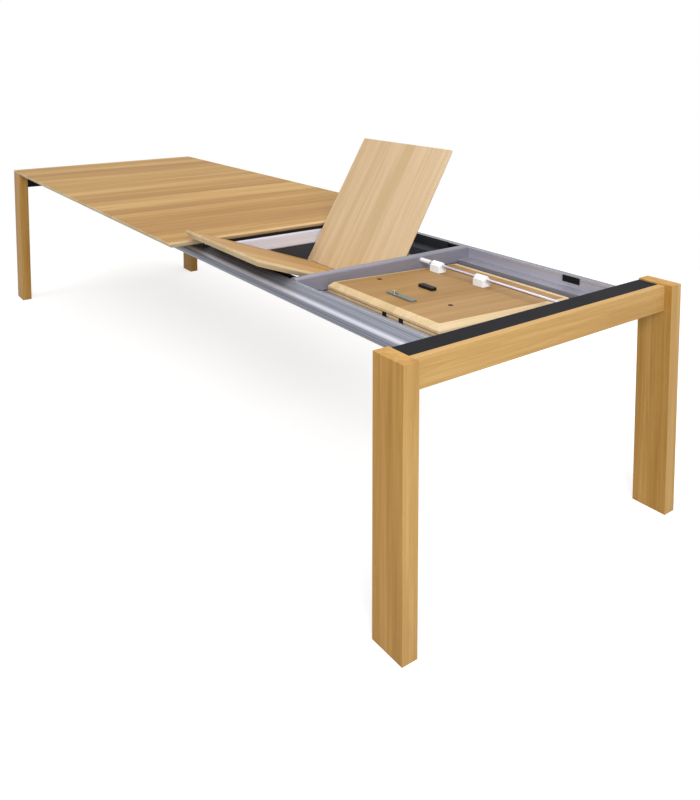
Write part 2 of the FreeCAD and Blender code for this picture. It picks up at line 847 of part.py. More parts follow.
def hinge_flap(part, start, low_y, knuckles, axis):
    """A flap on the spine edge and its knuckles, each given as (start, length) along the hinge."""
    across, up = axis
    flap = solid_box(
        part + "_flap",
        (start, low_y, "%s - hinge_flap_height" % up),
        ("hinge_length", "hinge_flap_thickness", "hinge_flap_height - (%s)" % WEB_HEIGHT),
    )
    pieces = [flap]
    for index, (knuckle_start, length) in enumerate(knuckles):
        place = "%s + %s" % (start, knuckle_start)
        web_low = (place, low_y, "%s - (%s)" % (up, WEB_HEIGHT))
        pieces.append(
            solid_box("%s_web_%d" % (part, index), web_low, (length, "hinge_flap_thickness", WEB_HEIGHT))
        )
        pieces.append(
            solid_bar("%s_knuckle_%d" % (part, index), (place, across, up), "knuckle_radius", length)
        )
    return pieces


def swing_hinges(name):
    """The hinge halves on the swinging board, with the pins."""
    axis = ("-rod_offset", "fold_height")
    low_y = "-rod_offset + fold_gap - hinge_flap_thickness"
    end_knuckles = (("0", "knuckle_length"), ("hinge_length - knuckle_length", "knuckle_length"))
    halves = []
    for index, start in enumerate(HINGE_STARTS):
        part = "%s_%d" % (name, index)
        pin = solid_bar(part + "_pin", (start,) + axis, "hinge_pin_radius", "hinge_length")
        halves.append(fuse(part, hinge_flap(part, start, low_y, end_knuckles, axis) + [pin]))
    return group(name, halves)


def fold_hinges(name):
    """The hinge halves on the folding board, bored for the pins."""
    middle = (("knuckle_length + knuckle_gap", MIDDLE_KNUCKLE),)
    halves = []
    for index, start in enumerate(HINGE_STARTS):
        part = "%s_%d" % (name, index)
        pieces = hinge_flap(part, start, "-fold_gap", middle, ("0", "0"))
        bore = solid_bar(part + "_bore", (start, "0", "0"), "hinge_pin_radius + running_fit", "hinge_length")
        halves.append(cut(part, fuse(part + "_solid", pieces), bore))
    return group(name, halves)


# ------------------------------------------------------------------ latch and clip
LATCH_ACROSS = "swing_outer - latch_edge_distance"
LATCH_LOW = "rod_depth - latch_height"
CAVITY_HEIGHT = "latch_height - latch_cover"
BOLT_WIDTH = "latch_width - 2 * latch_rim - 2 * bolt_play"


def upright_edges(body):
    return edges_where(body, lambda first, last: abs(first.z - last.z) > SAME_PLACE)


def latch_cover(name):
    """The cover over the sliding bolt, with a window for the knob's stem."""
    body = box_body(
        name,
        ("latch_start", "%s - latch_width / 2" % LATCH_ACROSS, LATCH_LOW),
        ("latch_length", "latch_width", "latch_height"),
    )
    soften(body, upright_edges(body), "latch_rounding")
    cut_box(
        body,
        (
            "latch_start + latch_rim",
            "%s - latch_width / 2 + latch_rim" % LATCH_ACROSS,
            "rod_depth - (%s)" % CAVITY_HEIGHT,
        ),
        ("latch_length - 2 * latch_rim", "latch_width - 2 * latch_rim", CAVITY_HEIGHT),
    )
    window_start = "latch_start + knob_inset - knob_stem_radius - bolt_play"
    cut_box(
        body,
        (window_start, "%s - knob_stem_radius - bolt_play" % LATCH_ACROSS, LATCH_LOW),
        (
            "latch_travel + 2 * knob_stem_radius + 2 * bolt_play",
            "2 * knob_stem_radius + 2 * bolt_play",
            "latch_cover",
        ),
    )
    return body


def latch_bolt(name):
    """The flat bolt under the cover and the knob that slides it."""
    start = "latch_start + latch_rim + bolt_play"
    bolt_low = "rod_depth - (%s) + bolt_play" % CAVITY_HEIGHT
    body = box_body(
        name,
        (start, "%s - (%s) / 2" % (LATCH_ACROSS, BOLT_WIDTH), bolt_low),
        ("bolt_length", BOLT_WIDTH, "bolt_thickness"),
    )
    centre = ("latch_start + knob_inset", LATCH_ACROSS)
    head_low = "%s - bolt_play - knob_height" % LATCH_LOW
    stem = circle(body, "XY_Plane", head_low, centre, "knob_stem_radius")
    pad(body, stem, "(%s) - (%s)" % (bolt_low, head_low))
    pad(body, circle(body, "XY_Plane", head_low, centre, "knob_radius"), "knob_height")
    return body


def leaf_clip(name):
    """A low black clip with rounded corners, screwed to the underside."""
    across = "(swing_outer - leaf_clip_edge_distance)"
    body = box_body(
        name,
        ("leaf_clip_start", "%s - leaf_clip_width / 2" % across, "rod_depth - leaf_clip_height"),
        ("leaf_clip_length", "leaf_clip_width", "leaf_clip_height"),
    )
    soften(body, upright_edges(body), "leaf_clip_rounding")
    return body


def edge_catches(name):
    return group(name, [box_body("edge_catch", low, lengths) for low, lengths in CATCHES])


# ------------------------------------------------------------------ the two leaves
for leaf, swing_side, fold_side, notches in (
    ("leaf_one", "right", "left", ()),
    ("leaf_two", "upper", "lower", CATCHES),
):
    swing = "%s_%s_" % (leaf, swing_side)
    fold = "%s_%s_" % (leaf, fold_side)
    panel, lipping = swing_boards(swing + "board")
    for obj, label in (
        (bushes(leaf + "_bush_group"), leaf + "_bushes"),
        (panel, swing + "panel"),
        (lipping, swing + "lipping"),
        (bearing_blocks(leaf + "_block_group"), leaf + "_bearing_blocks"),
        (swing_hinges(swing + "hinge_group"), swing + "hinges"),
        (latch_cover(leaf + "_cover"), leaf + "_latch_cover"),
        (latch_bolt(leaf + "_bolt"), leaf + "_latch_bolt"),
        (leaf_clip(leaf + "_spring_clip"), leaf + "_clip"),
    ):
        keep(on_swing_half(obj, leaf), label)
    panel, lipping = fold_boards(fold + "board", notches)
    for obj, label in (
        (panel, fold + "panel"),
        (lipping, fold + "lipping"),
        (fold_hinges(fold + "hinge_group"), fold + "hinges"),
    ):
        keep(on_fold_half(obj, leaf), label)
keep(on_fold_half(edge_catches("catch_group"), "leaf_two"), "leaf_two_edge_catches")

# ------------------------------------------------------------------ check and write
doc.recompute()
for obj in doc.Objects:
    if "Invalid" in obj.State or "Error" in obj.State:
        raise RuntimeError("%s failed: %s" % (obj.Label, obj.State))
for obj in SUB_PARTS:
    if obj.Shape.isNull() or not obj.Shape.isValid():
        raise RuntimeError("%s has no valid shape" % obj.Label)
    if any(solid.Volume <= 0 for solid in obj.Shape.Solids) or not obj.Shape.Solids:
        raise RuntimeError("%s has no solid" % obj.Label)
for obj in SUB_PARTS:
    obj.Shape.exportStep("parts/%s.step" % obj.Label)
print("%d sub-parts" % len(SUB_PARTS))
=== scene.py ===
import math

import bmesh
import bpy
from mathutils import Matrix, Vector


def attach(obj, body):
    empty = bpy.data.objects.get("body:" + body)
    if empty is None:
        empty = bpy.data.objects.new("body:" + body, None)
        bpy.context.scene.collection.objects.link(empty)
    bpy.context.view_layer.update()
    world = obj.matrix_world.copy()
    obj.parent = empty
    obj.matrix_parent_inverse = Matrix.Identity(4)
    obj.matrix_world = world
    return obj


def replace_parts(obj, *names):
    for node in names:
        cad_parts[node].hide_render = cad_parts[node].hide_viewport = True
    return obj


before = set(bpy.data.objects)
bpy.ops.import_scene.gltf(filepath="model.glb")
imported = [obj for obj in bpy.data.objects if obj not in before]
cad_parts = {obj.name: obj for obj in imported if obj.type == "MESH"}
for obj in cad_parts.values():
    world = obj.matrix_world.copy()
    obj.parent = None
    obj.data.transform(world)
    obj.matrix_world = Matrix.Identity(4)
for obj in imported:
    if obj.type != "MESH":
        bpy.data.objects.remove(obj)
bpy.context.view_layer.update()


# ------------------------------------------------------------------ camera and studio
# A still camera low beside the drawn-out end, as a catalogue would take the table: the near leg close
# by and the top running away to the left. The frame is taken low, so that the feet stay in it.
CAMERA_PLACE = (3.1156, -1.6657, 1.4136)
TILT_DOWN, HEADING = 4.57, 144.09
view = bpy.data.cameras.new("studio_camera")
view.lens = 35.80
view.sensor_width = 36
view.shift_y = -0.35
camera = bpy.data.objects.new("studio_camera", view)
bpy.context.collection.objects.link(camera)
camera.location = CAMERA_PLACE
camera.rotation_euler = (math.radians(90 - TILT_DOWN), 0, math.radians(HEADING - 90))
bpy.context.scene.camera = camera
bpy.context.scene.view_settings.view_transform = "Standard"


def soft_box(name, place, target, width, height, power):
    """A lamp with a square diffuser, aimed at a point: sizes in metres, power in watts."""
    light = bpy.data.lights.new(name, "AREA")
    light.shape = "RECTANGLE"
    light.size = width
    light.size_y = height
    light.energy = power
    lamp = bpy.data.objects.new(name, light)
    bpy.context.collection.objects.link(lamp)
    lamp.location = place
    away = [a - b for a, b in zip(place, target)]
    lamp.rotation_euler = (
        math.atan2(math.hypot(away[0], away[1]), away[2]),
        0,
        math.atan2(away[1], away[0]) + math.pi / 2,
    )


# A large key from the drawn-out end, a weak fill on the long side and a broad soft light from above.
soft_box("key_soft_box", (6.25, -2.5, 3.8), (0.6, 0, 0.5), 3.2, 3.2, 338)
soft_box("fill_soft_box", (-1.5, -5.5, 3.6), (-0.4, 0, 0.5), 3.5, 3.0, 60)
soft_box("top_soft_box", (-0.4, 0.8, 5.0), (-0.4, 0, 0.5), 5.0, 3.0, 120)


def linear(colour):
    """An sRGB hex colour as the linear values that a socket takes."""
    parts = [int(colour[i : i + 2], 16) / 255 for i in (0, 2, 4)]
    return [c / 12.92 if c <= 0.04045 else ((c + 0.055) / 1.055) ** 2.4 for c in parts] + [1.0]


def add(tree, kind, inputs=None, stops=(), **settings):
    """Adds one node with its settings; an input is a value or the socket that feeds it.

    stops are a colour ramp's (position, hex colour) pairs.
    """
    made = tree.nodes.new("ShaderNode" + kind)
    for key, value in settings.items():
        setattr(made, key, value)
    for _ in stops[2:]:
        made.color_ramp.elements.new(0.5)
    for number, (position, colour) in enumerate(stops):
        made.color_ramp.elements[number].position = position
        made.color_ramp.elements[number].color = linear(colour)
    for key, value in (inputs or {}).items():
        if isinstance(value, bpy.types.NodeSocket):
            tree.links.new(value, made.inputs[key])
        else:
            made.inputs[key].default_value = value
    return made


def new_tree(name):
    """A material with only its output, as (material, node tree, output node)."""
    material = bpy.data.materials.new(name)
    material.use_nodes = True
    tree = material.node_tree
    tree.nodes.clear()
    return material, tree, tree.nodes.new("ShaderNodeOutputMaterial")


def seen_directly(tree):
    """1 for what the lens sees, straight, in a polished face or through glass; 0 for lighting rays."""
    path = add(tree, "LightPath").outputs
    mirrored = add(tree, "Math", {0: path["Is Camera Ray"], 1: path["Is Glossy Ray"]}, operation="MAXIMUM")
    through = {0: mirrored.outputs[0], 1: path["Is Transmission Ray"]}
    return add(tree, "Math", through, operation="MAXIMUM").outputs[0]


# The walls: they light the table dimly, like a large room, and stand white behind it.
WALL_LIGHT = 0.42
WHITE = linear("ffffff")
world = bpy.data.worlds.new("white_studio")
bpy.context.scene.world = world
world.use_nodes = True
tree = world.node_tree
tree.nodes.clear()
lit = add(tree, "Background", {"Color": WHITE, "Strength": WALL_LIGHT}).outputs[0]
white = add(tree, "Background", {"Color": WHITE, "Strength": 1.0}).outputs[0]
both = add(tree, "MixShader", {0: seen_directly(tree), 1: lit, 2: white})
add(tree, "OutputWorld", {"Surface": both.outputs[0]})

# The floor: a wide matt white studio sweep. It keeps the table's soft shadow and, between the two
# distances from the middle of the table, runs out into white.
SHADOW_ENDS, WHITE_BEGINS = 1.9, 3.4
FLOOR_GLOW = 0.66
FLOOR_SIZE, FLOOR_DROP = 120, 0.0005
floor_material, tree, output = new_tree("matt_white_studio_floor")
place = add(tree, "TexCoord").outputs["Object"]
speckle = add(tree, "TexNoise", {"Vector": place, "Scale": 3.0, "Detail": 2.0})
tone = add(tree, "ValToRGB", {0: speckle.outputs[0]}, stops=[(0.0, "b9b9b9"), (1.0, "bdbdbd")])
matt = add(tree, "BsdfDiffuse", {"Color": tone.outputs[0], "Roughness": 0.6}).outputs[0]
glow = add(tree, "Emission", {"Color": WHITE, "Strength": FLOOR_GLOW}).outputs[0]
near = add(tree, "AddShader", {0: matt, 1: glow}).outputs[0]
far = add(tree, "Emission", {"Color": WHITE, "Strength": 1.0}).outputs[0]
distance = add(tree, "VectorMath", {0: place}, operation="LENGTH").outputs["Value"]
fade = add(tree, "MapRange", {0: distance, 1: SHADOW_ENDS, 2: WHITE_BEGINS, 3: 0.0, 4: 1.0},
           interpolation_type="SMOOTHSTEP")
shown = add(tree, "MixShader", {0: fade.outputs[0], 1: near, 2: far}).outputs[0]
mixed = add(tree, "MixShader", {0: seen_directly(tree), 1: matt, 2: shown})
tree.links.new(mixed.outputs[0], output.inputs["Surface"])
bpy.ops.mesh.primitive_plane_add(size=FLOOR_SIZE, location=(0, 0, -FLOOR_DROP))
floor = bpy.context.object
floor.name = "studio_floor"
floor.data.materials.append(floor_material)


# ------------------------------------------------------------------ table top
# The long fixed top: a board veneered with sliced oak laid across the table, its rim of solid oak
# bevelled away below, so that only a thin edge shows. The veneer runs over the rim. Satin lacquer.
def finish(node, material):
    """Gives a carried-over piece its material."""
    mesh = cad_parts[node].data
    mesh.materials.clear()
    mesh.materials.append(material)


def streaks(tree, place, scale, detail=3.0, distortion=0.0):
    """Noise drawn out along X: scale is streaks a metre along, across and through the piece."""
    drawn = add(tree, "VectorMath", {0: place, 1: scale}, operation="MULTIPLY").outputs[0]
    settings = {"Vector": drawn, "Scale": 1.0, "Detail": detail, "Distortion": distortion}
    return add(tree, "TexNoise", settings).outputs[0]


def oak(name, tones, turn=(0, 0, 0), origin=(0, 0, 0), plank=0.0, face=None, level=0.0):
    """Lacquered oak. The grain runs along X once the pattern is turned; plank is the strips' width.

    tones are the pore, the late wood, the middle and the early wood. face gives the tones of the veneer
    above the level, as a height in the turned pattern. All lengths are in metres.
    """
    material, tree, output = new_tree(name)
    place = add(tree, "TexCoord").outputs["Object"]
    turned = {"Vector": place, "Location": origin, "Rotation": turn}
    place = add(tree, "Mapping", turned, vector_type="TEXTURE").outputs[0]
    parts = add(tree, "SeparateXYZ", {0: place}).outputs
    height = parts[2]
    if plank:
        # Each strip takes its grain from another place in the log, and is a shade lighter or darker.
        number = add(tree, "Math", {0: parts[1], 1: plank}, operation="DIVIDE")
        number = add(tree, "Math", {0: number.outputs[0]}, operation="FLOOR")
        chance = add(tree, "TexWhiteNoise", {"W": number.outputs[0]}, noise_dimensions="1D")
        push = add(tree, "VectorMath", {0: chance.outputs["Color"], 1: (4.0, 0.6, 1.7)}, operation="MULTIPLY")
        place = add(tree, "VectorMath", {0: place, 1: push.outputs[0]}, operation="ADD").outputs[0]
    # Growth bands about 90 mm wide, figure about 20 mm wide and fibre lines about 4 mm wide.
    broad = streaks(tree, place, (0.6, 11.0, 11.0), 2.0, 0.3)
    figure = streaks(tree, place, (1.6, 48.0, 48.0), 3.0, 0.5)
    fine = streaks(tree, place, (6.0, 230.0, 230.0), 3.0)
    grain = add(tree, "Mix", {0: 0.42, 2: broad, 3: figure}).outputs[0]
    grain = add(tree, "Mix", {0: 0.24, 2: grain, 3: fine}).outputs[0]
    if plank:
        grain = add(tree, "Mix", {0: 0.17, 2: grain, 3: chance.outputs["Value"]}).outputs[0]
    # Real pores are 0.3 mm wide, too fine to show, so they are drawn 1.6 mm wide and 45 mm long.
    pores = streaks(tree, place, (22.0, 620.0, 620.0), 2.0)
    pore_mask = add(tree, "MapRange", {0: pores, 1: 0.60, 2: 0.74, 3: 0.0, 4: 0.30}).outputs[0]

    def coloured(pore, late, middle, early):
        wood = add(tree, "ValToRGB", {0: grain}, stops=[(0.38, late), (0.50, middle), (0.62, early)])
        pored = {0: pore_mask, 6: wood.outputs[0], 7: linear(pore)}
        return add(tree, "Mix", pored, data_type="RGBA").outputs[2]

    colour = coloured(*tones)
    if face:
        above = add(tree, "Math", {0: height, 1: level}, operation="GREATER_THAN").outputs[0]
        colour = add(tree, "Mix", {0: above, 6: colour, 7: coloured(*face)}, data_type="RGBA").outputs[2]
    # A satin lacquer with a weak shine, in which the fibre lines still stand up a little.
    gloss = add(tree, "MapRange", {0: fine, 1: 0.3, 2: 0.7, 3: 0.50, 4: 0.60}).outputs[0]
    relief = add(tree, "Bump", {"Height": fine, "Strength": 0.12, "Distance": 0.0004}).outputs[0]
    lacquer = {"Base Color": colour, "Roughness": gloss, "IOR": 1.5, "Specular IOR Level": 0.25,
               "Normal": relief}
    shader = add(tree, "BsdfPrincipled", lacquer)
    tree.links.new(shader.outputs[0], output.inputs["Surface"])
    return material


ACROSS = (0, 0, math.pi / 2)
VENEER = ("78552a", "996d2f", "a98040", "bd9758")
RIM = ("a98a5e", "ccb083", "d9bf95", "e4cda8")
VENEER_DEPTH = 0.0006
TABLE_HEIGHT = 0.750
TOP_PLANK = 0.115
finish("main_top_panel", oak("oak_veneer_lacquered_top", VENEER, ACROSS, plank=TOP_PLANK))
finish("main_top_lipping", oak("oak_rim_solid_lacquered_top", RIM, ACROSS, plank=TOP_PLANK, face=VENEER,
                               level=TABLE_HEIGHT - VENEER_DEPTH))


# ------------------------------------------------------------------ legs and rails
# Four legs and two end rails of solid oak, planed and lacquered; each rail is let in between its legs.
# The legs' narrow faces at the drawn-out end face the key light and are painted paler than the wide
# ones, as painted light. The rails take the same paler tones all over, as painted light.
def corners(node):
    """The lowest and the highest corner of a carried-over piece at rest."""
    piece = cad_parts[node]
    points = [piece.matrix_world @ vertex.co for vertex in piece.data.vertices]
    return [Vector([pick(point[axis] for point in points) for axis in range(3)]) for pick in (min, max)]


SOLID = ("7d5924", "a87a36", "ba8c47", "ca9e5a")
# The same oak in lighter tones, painted as lit, for the legs' end faces and the rails.
LIT_SOLID = ("8d6a3a", "b0874c", "c0985c", "cfa96e")
near_face = corners("near_leg_left")[1].x
UPRIGHT = (0, math.pi / 2, 0)
leg_oak = oak("oak_solid_lacquered_upright", SOLID, UPRIGHT, face=LIT_SOLID, level=near_face - VENEER_DEPTH)
for node in ("near_leg_left", "near_leg_right", "far_leg_left", "far_leg_right"):
    finish(node, leg_oak)
rail_oak = oak("oak_solid_lacquered_across", LIT_SOLID, ACROSS)
for node in ("near_rail", "far_rail"):
    finish(node, rail_oak)


# ------------------------------------------------------------------ black cross beams
# A folded steel beam behind each rail, which ties the legs together. It is powder coated black:
# a fine orange peel, satin, darker than anything else on the table.
def coated(name, colour, dark, rough, sheen=0.5, grit=0.0012):
    """A fine-textured coat: sheen is its specular level, grit the size of the peel in metres.

    The peel is drawn about four times as coarse as the real one, which would not show.
    """
    material, tree, output = new_tree(name)
    place = add(tree, "TexCoord").outputs["Object"]
    peel = add(tree, "TexNoise", {"Vector": place, "Scale": 1 / grit, "Detail": 2.0}).outputs[0]
    cloud = add(tree, "TexNoise", {"Vector": place, "Scale": 6.0, "Detail": 2.0}).outputs[0]
    both = add(tree, "Mix", {0: 0.5, 2: peel, 3: cloud}).outputs[0]
    tint = add(tree, "ValToRGB", {0: both}, stops=[(0.3, dark), (0.7, colour)]).outputs[0]
    gloss = add(tree, "MapRange", {0: cloud, 1: 0.3, 2: 0.7, 3: rough - 0.05, 4: rough + 0.05}).outputs[0]
    relief = add(tree, "Bump", {"Height": peel, "Strength": 0.15, "Distance": 0.0003}).outputs[0]
    coat = {"Base Color": tint, "Roughness": gloss, "IOR": 1.5, "Specular IOR Level": sheen, "Normal": relief}
    shader = add(tree, "BsdfPrincipled", coat)
    tree.links.new(shader.outputs[0], output.inputs["Surface"])
    return material


black_coat = coated("steel_powder_coated_black", "18181c", "101013", 0.75, 0.12)
for node in ("near_cross_beam", "far_cross_beam"):
    finish(node, black_coat)


# ------------------------------------------------------------------ aluminium side beams
# Two extruded hollow beams, flat inside and bulging outside, with fine grooves along the bulge and a
# painted highlight along its shoulder. They are anodised matt, a soft silver; the bulge is painted slate
# grey as shade.
def drawn_metal(name, light, dark, rough, scale, turn=(0, 0, 0), metallic=1.0, bulge=None):
    """Metal with drawing lines along X once turned: scale is lines a metre along, across and through.

    An anodised face is less metallic, as its oxide layer scatters part of the light. bulge gives the
    light and the dark groove tone, darkened as painted shade, beyond a distance from the middle line, and
    the tone and height of a painted highlight.
    """
    material, tree, output = new_tree(name)
    place = add(tree, "TexCoord").outputs["Object"]
    place = add(tree, "Mapping", {"Vector": place, "Rotation": turn}, vector_type="TEXTURE").outputs[0]
    lines = streaks(tree, place, scale)
    cloud = add(tree, "TexNoise", {"Vector": place, "Scale": 3.0, "Detail": 1.0}).outputs[0]
    both = add(tree, "Mix", {0: 0.3, 2: lines, 3: cloud}).outputs[0]
    tint = add(tree, "ValToRGB", {0: both}, stops=[(0.32, dark), (0.68, light)]).outputs[0]
    if bulge:
        light_groove, dark_groove, highlight_tone, beyond, highlight_height = bulge
        parts = add(tree, "SeparateXYZ", {0: place}).outputs
        away = add(tree, "Math", {0: parts[1]}, operation="ABSOLUTE").outputs[0]
        # Beyond that distance the grooved tones are darker: painted shade on the bulge.
        outside = add(tree, "Math", {0: away, 1: beyond}, operation="GREATER_THAN").outputs[0]
        grooves = [(0.40, dark_groove), (0.60, light_groove)]
        grooved = add(tree, "ValToRGB", {0: lines}, stops=grooves).outputs[0]
        # A painted highlight: a pale band at one height along the bulge, where the key light would glint.
        off = add(tree, "Math", {0: parts[2], 1: highlight_height}, operation="SUBTRACT").outputs[0]
        off = add(tree, "Math", {0: off}, operation="ABSOLUTE").outputs[0]
        highlight_band = add(tree, "MapRange", {0: off, 1: HIGHLIGHT_CREST, 2: HIGHLIGHT_FOOT, 3: 1.0, 4: 0.0}).outputs[0]
        grooved = add(tree, "Mix", {0: highlight_band, 6: grooved, 7: linear(highlight_tone)}, data_type="RGBA").outputs[2]
        tint = add(tree, "Mix", {0: outside, 6: tint, 7: grooved}, data_type="RGBA").outputs[2]
    gloss = add(tree, "MapRange", {0: lines, 1: 0.3, 2: 0.7, 3: rough - 0.05, 4: rough + 0.06}).outputs[0]
    relief = add(tree, "Bump", {"Height": lines, "Strength": 0.08, "Distance": 0.0002}).outputs[0]
    face = {"Base Color": tint, "Metallic": metallic, "Roughness": gloss, "Normal": relief}
    shader = add(tree, "BsdfPrincipled", face)
    tree.links.new(shader.outputs[0], output.inputs["Surface"])
    return material


# The drawing lines are drawn 4 mm wide, as the real ones are too fine to show.
BEAM_LINES = (1.5, 260.0, 260.0)
# The painted highlight's drop below the beam's top, and where its band is full and where it fades.
HIGHLIGHT_DROP, HIGHLIGHT_CREST, HIGHLIGHT_FOOT = 0.0145, 0.0008, 0.0060
BULGE_START = 0.002
wall = corners("cross_member_far")[1].y
beam_top = corners("side_beam_right")[1].z
# The bulge's tones: grooves darkened as painted shade, and a painted highlight on its shoulder.
bulge_shade_and_highlight = ("828692", "676b76", "d2d1dc", wall + BULGE_START, beam_top - HIGHLIGHT_DROP)
beam_metal = drawn_metal("aluminium_extruded_anodised", "cccbd6", "aaa9b5", 0.40, BEAM_LINES,
                         metallic=0.5, bulge=bulge_shade_and_highlight)
for node in ("side_beam_left", "side_beam_right"):
    finish(node, beam_metal)


# ------------------------------------------------------------------ cross members
# Two aluminium box sections fixed between the beams, brushed along their length and anodised. The far
# one is painted bright as lit, the middle one a darker grey as painted shade.
BRUSHING = (3.0, 420.0, 420.0)
for member, light, dark in (("far", "dcdff0", "c8cbdd"), ("middle", "94929f", "807e8b")):
    brushed = drawn_metal("aluminium_brushed_anodised_" + member, light, dark, 0.48, BRUSHING, ACROSS,
                          metallic=0.45)
    finish("cross_member_" + member, brushed)


# ------------------------------------------------------------------ shelves and bars in the frame
# Pressed sheet trays along each beam, let in between the cross members, over which the folded leaves
# lie. A flat bar hangs under each member, and a thin dark sheet on the right beam's wall in the first
# bay is painted shade. The first bay's pieces and the far bar are dark slate, painted shade under the
# raised leaf; the second bay's are anodised.
def new_piece(form, name, material, body):
    """Closes a bmesh into a piece that rides a body and takes the given material."""
    mesh = bpy.data.meshes.new(name)
    bmesh.ops.recalc_face_normals(form, faces=form.faces)
    form.to_mesh(mesh)
    form.free()
    mesh.materials.append(material)
    piece = bpy.data.objects.new(name, mesh)
    bpy.context.collection.objects.link(piece)
    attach(piece, body)
    return piece


def pressed(low, high, pressing):
    """A plate between two corners, its top pressed in, as a bmesh.

    The pressing is the rim's width, the depth inside it and the softening of every edge, in metres.
    """
    rim, depth, soft = pressing
    form = bmesh.new()
    bmesh.ops.create_cube(form, size=1.0)
    bmesh.ops.scale(form, vec=[b - a for a, b in zip(low, high)], verts=form.verts)
    bmesh.ops.translate(form, vec=[(a + b) / 2 for a, b in zip(low, high)], verts=form.verts)
    form.normal_update()
    top = [face for face in form.faces if face.normal.z > 0.9]
    bmesh.ops.inset_region(form, faces=top, thickness=rim)
    bmesh.ops.translate(form, vec=(0, 0, -depth), verts=top[0].verts)
    bmesh.ops.bevel(form, geom=form.edges[:], offset=soft, affect="EDGES", segments=2, profile=0.5,
                    material=-1)
    return form


SHELF_HIGH = 0.014
SHELF_TOP, SHELF_EDGE, SHELF_RIGHT = 0.678, -0.276, 0.318
LOW_SHELF_TOP, LOW_SHELF_EDGE = 0.667, -0.272
LIP_DROP, LIP_THICK = 0.050, 0.002
FAR_BAR_DROP, FAR_BAR_REACH = 0.064, 0.300
MIDDLE_BAR_DROP, MIDDLE_BAR_REACH = 0.030, 0.345
SHADE_SHEET_THICK, SHADE_SHEET_CLEARANCE = 0.0008, 0.001
SHELF_PRESSING = (0.004, 0.003, 0.0008)
LIP_PRESSING = (0.0005, 0.0005, 0.0003)
BAR_PRESSING = (0.004, 0.001, 0.0008)
SHADE_SHEET_PRESSING = (0.0002, 0.0001, 0.0001)
shelf_under = SHELF_TOP - SHELF_HIGH
far_low, far_high = corners("cross_member_far")
middle_low, middle_high = corners("cross_member_middle")
near_beam_low = corners("near_cross_beam")[0]

# A matt dark slate that is painted shade, and sheet with a dull shine and its rolling lines drawn 5 mm wide.
shade_slate = coated("painted_shade_slate", "34373e", "272a30", 0.65, 0.25)
tray_metal = drawn_metal("aluminium_sheet_anodised", "9b9aa6", "86858f", 0.45, (1.5, 200.0, 200.0),
                         metallic=0.5)
for bay, start, end, material, slot, left_top, left_edge in (
    ("bay_one", far_high.x, middle_low.x, shade_slate, "black_beam", SHELF_TOP, SHELF_EDGE),
    ("bay_two", middle_high.x, near_beam_low.x, tray_metal, "anodised_beam", LOW_SHELF_TOP, LOW_SHELF_EDGE),
):
    form = pressed((start, -wall, left_top - SHELF_HIGH), (end, left_edge, left_top), SHELF_PRESSING)
    new_piece(form, bay + "_shelf_left", material, "near_frame")
    form = pressed((start, SHELF_RIGHT, shelf_under), (end, wall, SHELF_TOP), SHELF_PRESSING)
    new_piece(form, bay + "_shelf_right", material, "near_frame")
    lip_low = (start, SHELF_RIGHT, shelf_under - LIP_DROP)
    form = pressed(lip_low, (end, SHELF_RIGHT + LIP_THICK, shelf_under), LIP_PRESSING)
    new_piece(form, bay + "_shelf_lip", material, "near_frame")
for member, low, high, drop, reach, material, slot in (
    ("far", far_low, far_high, FAR_BAR_DROP, FAR_BAR_REACH, shade_slate, "black_beam"),
    ("middle", middle_low, middle_high, MIDDLE_BAR_DROP, MIDDLE_BAR_REACH, tray_metal, "anodised_beam"),
):
    form = pressed((low.x, -reach, low.z - drop), (high.x, reach, low.z), BAR_PRESSING)
    new_piece(form, "lower_bar_" + member, material, "near_frame")
# A thin dark sheet on the right beam's wall in the first bay, as painted shade.
shade_sheet_end = corners("beam_wall_clips")[0].x - SHADE_SHEET_CLEARANCE
form = pressed((far_high.x, wall - SHADE_SHEET_THICK, SHELF_TOP), (shade_sheet_end, wall, beam_top), SHADE_SHEET_PRESSING)
new_piece(form, "bay_one_wall_painted_shade", shade_slate, "near_frame")


# ------------------------------------------------------------------ rods
# The two rods that the leaves slide and turn on, one in each bay: round steel bar, ground and
# polished, so that they are pale with a bright line along the top.
rod_metal = drawn_metal("steel_ground_polished", "c6c3d0", "a6a3b1", 0.28, (8.0, 300.0, 300.0))
for node in ("leaf_one_rod", "leaf_two_rod"):
    finish(node, rod_metal)


# ------------------------------------------------------------------ guide tracks, screws and hinges
# Extruded tracks under the top that the frame's shoes run in, left as they came from the mill and
# fixed up with zinc-plated screws. The hinges between the leaves' halves are rolled from steel strip.
track_metal = drawn_metal("aluminium_mill_finish", "b2b2b2", "9c9c9c", 0.42, (2.0, 300.0, 300.0))
for node in ("guide_track_left", "guide_track_right"):
    finish(node, track_metal)
# A grey plating, duller than bare steel, and strip steel with a warm oiled cloudiness.
zinc = coated("steel_zinc_plated", "a9a9a6", "8f8f8c", 0.4)
finish("track_screws", zinc)
hinge_metal = drawn_metal("steel_rolled_hinge", "a8a49b", "8d8a82", 0.38, (80.0, 80.0, 80.0))
for half in ("leaf_one_right", "leaf_one_left", "leaf_two_upper", "leaf_two_lower"):
    finish(half + "_hinges", hinge_metal)


# ------------------------------------------------------------------ leaves
# Two leaves, each of two halves hinged at the middle: boards veneered across the table like the top,
# with the same bevelled rim. The underside is a plainer, warmer veneer. The swinging half's face is
# painted paler as lit, the folding half's face darker as painted shade.
# One veneer in two tones: lit for the swinging half's face, shaded for the folding half's.
LIT_FACE = ("a68b66", "c4a880", "d1b793", "dcc5a4")
SHADED_FACE = ("805c2a", "a67c40", "b88e53", "c89f66")
LEAF_UNDER = ("7c5a2c", "956f3b", "a5804e", "b89363")
LEAF_PLANK = 0.11
# Where the rod lies, how far the fold's pin is from it, and how high the face and the pin are above it.
ROD_Y, ROD_Z, REACH, FACE_UP, SPINE_UP = 0.144, 0.704, 0.144, 0.046, 0.0468
